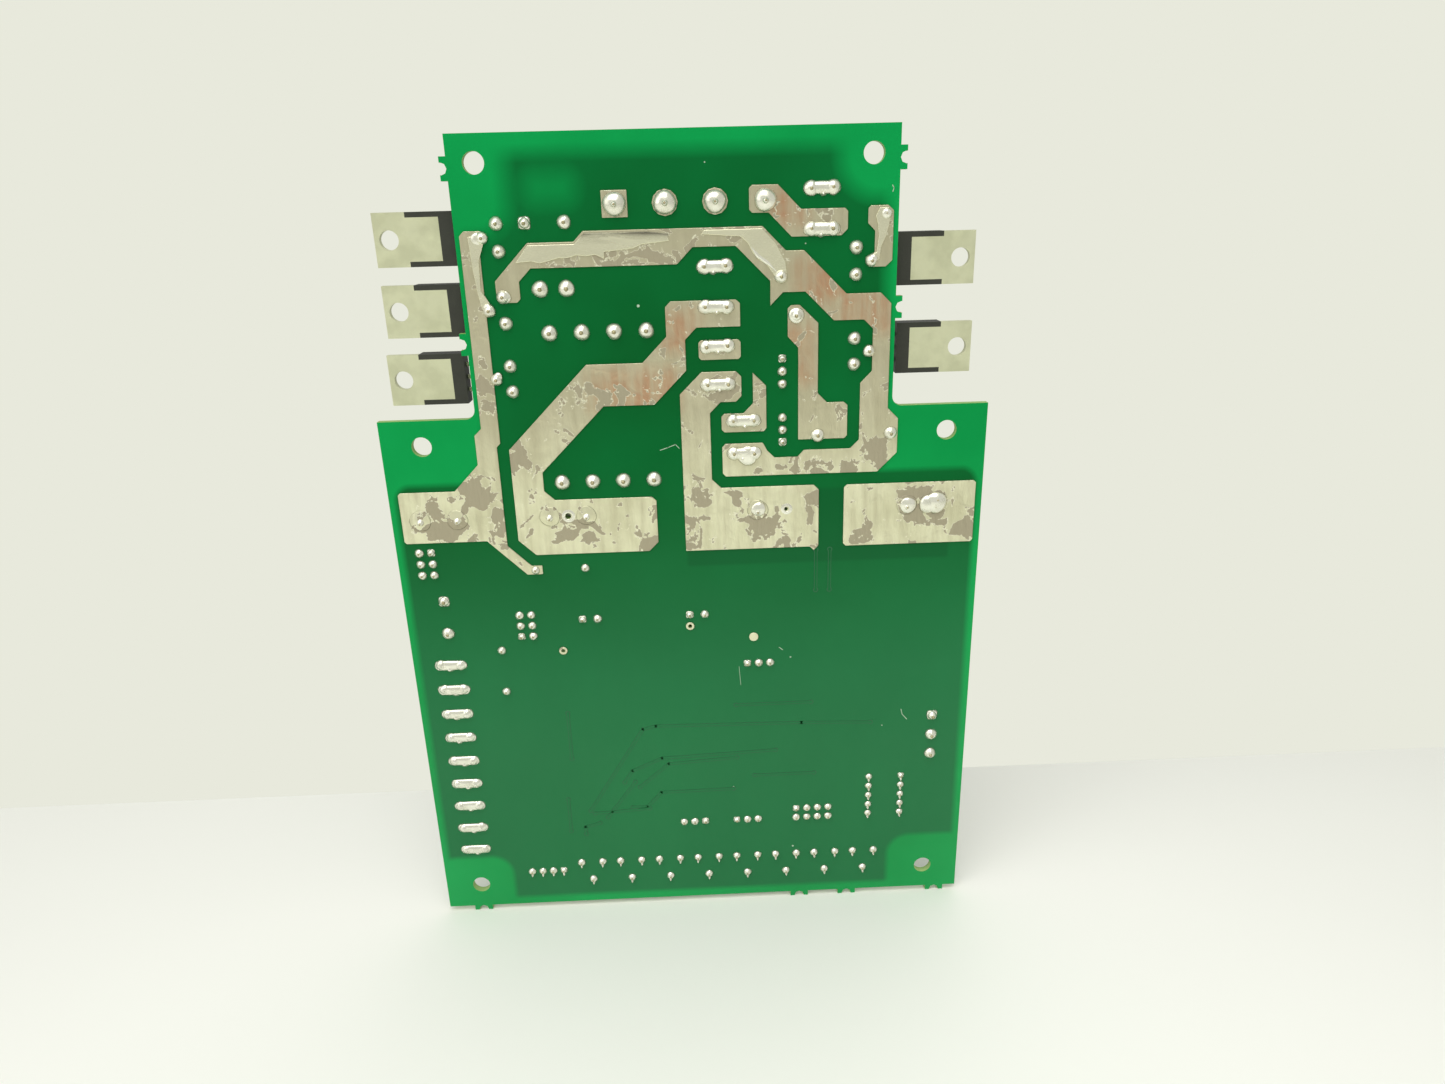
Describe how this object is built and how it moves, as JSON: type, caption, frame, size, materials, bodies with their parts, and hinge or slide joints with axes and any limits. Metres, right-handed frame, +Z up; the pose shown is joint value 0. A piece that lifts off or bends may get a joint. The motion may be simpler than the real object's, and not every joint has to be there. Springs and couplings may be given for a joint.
{
  "type": "motor speed control board",
  "caption": "Upright printed circuit board with a narrower upper half, bare tinned power areas, edge-mounted power devices, fuses, a transformer, plug-in tabs, a terminal strip and trimmers.",
  "frame": {"origin": "middle of the four chassis holes, on the solder face of the board", "axes": "+X to the right as the solder side shows it, +Y from the solder face through the board to the component side, +Z up"},
  "size_m": [0.1244, 0.0266, 0.1753],
  "materials": {
    "masked_board": "green solder mask over glass cloth and epoxy",
    "solder": "hot-dipped tin solder, dull in patches",
    "tinned_brass": "tin-plated brass sheet, stamped",
    "nickel_plate": "nickel-plated brass cap",
    "plated_steel": "zinc-plated steel screw",
    "black_plastic": "moulded thermoplastic",
    "green_plastic": "moulded polyamide",
    "red_plastic": "moulded switch case",
    "blue_plastic": "moulded polyester",
    "white_plastic": "moulded polyamide",
    "gold_plate": "gold-flashed square wire",
    "steel_core": "stacked and varnished steel laminations",
    "coil_tape": "polyester tape over copper turns",
    "former_plastic": "glass-filled polyamide",
    "fuse_glass": "clear soda glass tube",
    "fuse_wire": "tinned fuse element",
    "fuse_ceramic": "pressed ceramic tube",
    "disc_coat": "dipped epoxy",
    "film_case": "potted plastic box",
    "can_sleeve": "shrunk sleeve over an aluminium can",
    "resistor_coat": "silicone cement coat",
    "epoxy": "moulded epoxy",
    "tinned_wire": "tinned copper wire",
    "tinned_tab": "matte tin over a stamped copper tab"
  },
  "bodies": {
    "board": {"axial_resistors": "resistor_coat", "chip_bodies": "epoxy", "chip_legs": "tinned_wire", "circuit_board": "masked_board", "control_tabs": "tinned_brass", "diode": "epoxy", "electrolytic_cans": "can_sleeve", "film_capacitors": "film_case", "fuse_caps": "nickel_plate", "fuse_clips": "tinned_brass", "header_posts": "gold_plate", "header_strips": "black_plastic", "heavy_joints": "solder", "jumper_caps": "blue_plastic", "left_lower_device_body": "epoxy", "left_lower_device_tab": "tinned_tab", "left_middle_device_body": "epoxy", "left_middle_device_tab": "tinned_tab", "left_upper_device_body": "epoxy", "left_upper_device_tab": "tinned_tab", "line_fuse_glass": "fuse_glass", "line_fuse_wire": "fuse_wire", "motor_fuse_tube": "fuse_ceramic", "part_leads": "tinned_wire", "pin_joints": "solder", "power_tabs": "tinned_brass", "right_lower_device_body": "epoxy", "right_lower_device_tab": "tinned_tab", "right_upper_device_body": "epoxy", "right_upper_device_tab": "tinned_tab", "side_terminal": "green_plastic", "side_terminal_screws": "plated_steel", "small_part_bodies": "epoxy", "small_part_ends": "tinned_wire", "strip_screws": "plated_steel", "strip_straps": "tinned_brass", "surge_discs": "disc_coat", "switch_case": "red_plastic", "tab_joints": "solder", "terminal_strip": "black_plastic", "tinned_pads": "solder", "tinned_pours": "solder", "transformer_coils": "coil_tape", "transformer_core": "steel_core", "transformer_former": "former_plastic", "trimmer_cups": "blue_plastic"},
    "trimmer_1": {"trimmer_rotor_1": "white_plastic"},
    "trimmer_2": {"trimmer_rotor_2": "white_plastic"},
    "trimmer_3": {"trimmer_rotor_3": "white_plastic"},
    "trimmer_4": {"trimmer_rotor_4": "white_plastic"},
    "trimmer_5": {"trimmer_rotor_5": "white_plastic"},
    "trimmer_6": {"trimmer_rotor_6": "white_plastic"},
    "trimmer_7": {"trimmer_rotor_7": "white_plastic"},
    "trimmer_8": {"trimmer_rotor_8": "white_plastic"},
    "slider_1": {"switch_slider_1": "white_plastic"},
    "slider_2": {"switch_slider_2": "white_plastic"},
    "slider_3": {"switch_slider_3": "white_plastic"},
    "slider_4": {"switch_slider_4": "white_plastic"},
    "slider_5": {"switch_slider_5": "white_plastic"}
  },
  "joints": [
    {"name": "trimmer_1_turn", "type": "hinge", "parent": "board", "child": "trimmer_1", "pos_m": [-0.0267, 0.004, -0.05183], "axis": [0, 1, 0], "range_deg": [-120, 120]},
    {"name": "trimmer_2_turn", "type": "hinge", "parent": "board", "child": "trimmer_2", "pos_m": [-0.0173, 0.004, -0.05183], "axis": [0, 1, 0], "range_deg": [-120, 120]},
    {"name": "trimmer_3_turn", "type": "hinge", "parent": "board", "child": "trimmer_3", "pos_m": [-0.0079, 0.004, -0.05183], "axis": [0, 1, 0], "range_deg": [-120, 120]},
    {"name": "trimmer_4_turn", "type": "hinge", "parent": "board", "child": "trimmer_4", "pos_m": [0.0015, 0.004, -0.05183], "axis": [0, 1, 0], "range_deg": [-120, 120]},
    {"name": "trimmer_5_turn", "type": "hinge", "parent": "board", "child": "trimmer_5", "pos_m": [0.0109, 0.004, -0.05183], "axis": [0, 1, 0], "range_deg": [-120, 120]},
    {"name": "trimmer_6_turn", "type": "hinge", "parent": "board", "child": "trimmer_6", "pos_m": [0.0203, 0.004, -0.05183], "axis": [0, 1, 0], "range_deg": [-120, 120]},
    {"name": "trimmer_7_turn", "type": "hinge", "parent": "board", "child": "trimmer_7", "pos_m": [0.0297, 0.004, -0.05183], "axis": [0, 1, 0], "range_deg": [-120, 120]},
    {"name": "trimmer_8_turn", "type": "hinge", "parent": "board", "child": "trimmer_8", "pos_m": [0.0391, 0.004, -0.05183], "axis": [0, 1, 0], "range_deg": [-120, 120]},
    {"name": "slider_1_slide", "type": "slide", "parent": "board", "child": "slider_1", "axis": [1, 0, 0], "range_m": [0, 0.0017]},
    {"name": "slider_2_slide", "type": "slide", "parent": "board", "child": "slider_2", "axis": [1, 0, 0], "range_m": [0, 0.0017]},
    {"name": "slider_3_slide", "type": "slide", "parent": "board", "child": "slider_3", "axis": [1, 0, 0], "range_m": [0, 0.0017]},
    {"name": "slider_4_slide", "type": "slide", "parent": "board", "child": "slider_4", "axis": [1, 0, 0], "range_m": [0, 0.0017]},
    {"name": "slider_5_slide", "type": "slide", "parent": "board", "child": "slider_5", "axis": [1, 0, 0], "range_m": [0, 0.0017]}
  ]
}
